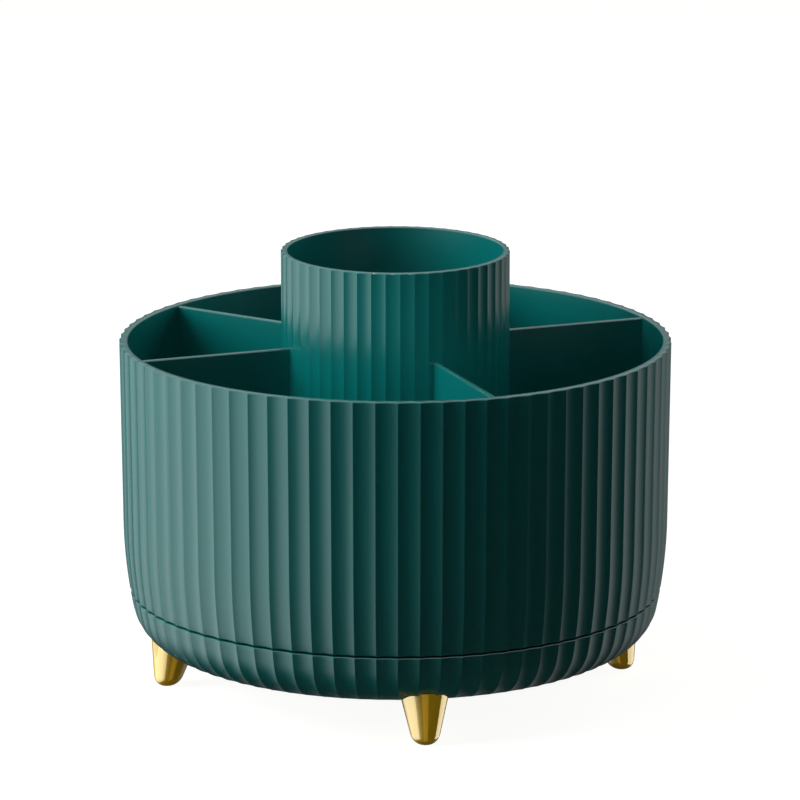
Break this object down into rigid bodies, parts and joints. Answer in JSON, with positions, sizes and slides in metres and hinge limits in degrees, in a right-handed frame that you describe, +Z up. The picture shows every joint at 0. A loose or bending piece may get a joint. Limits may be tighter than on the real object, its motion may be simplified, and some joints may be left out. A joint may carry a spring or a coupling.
{
  "type": "rotating desk caddy",
  "caption": "Round fluted desk caddy with radial dividers and a taller centre cup, turning on a base pan with short splayed legs.",
  "frame": {"origin": "on the table, under the axis of rotation", "axes": "+Z up along the axis of rotation; -Y faces the viewer of the picture, +X is to their right"},
  "size_m": [0.19, 0.19, 0.1525],
  "materials": {
    "green_plastic": "satin moulded dark green plastic",
    "gold_plating": "polished gold-coloured plating",
    "white_acetal": "natural white slippery plastic",
    "steel": "bright zinc-plated steel"
  },
  "bodies": {
    "base": {"base_pan": "green_plastic", "pivot_bush": "white_acetal", "glide_pads": "white_acetal", "leg_nuts": "steel", "leg_front": "gold_plating", "leg_right": "gold_plating", "leg_back": "gold_plating", "leg_left": "gold_plating"},
    "caddy": {"outer_tub": "green_plastic", "centre_cup": "green_plastic", "retaining_washer": "steel", "pivot_screw": "steel", "divider_right": "green_plastic", "divider_back_right": "green_plastic", "divider_back_left": "green_plastic", "divider_left": "green_plastic", "divider_front": "green_plastic"}
  },
  "joints": [
    {"name": "caddy_spin", "type": "hinge", "parent": "base", "child": "caddy", "pos_m": [0, 0, 0.0265], "axis": [0, 0, 1], "continuous": true}
  ]
}
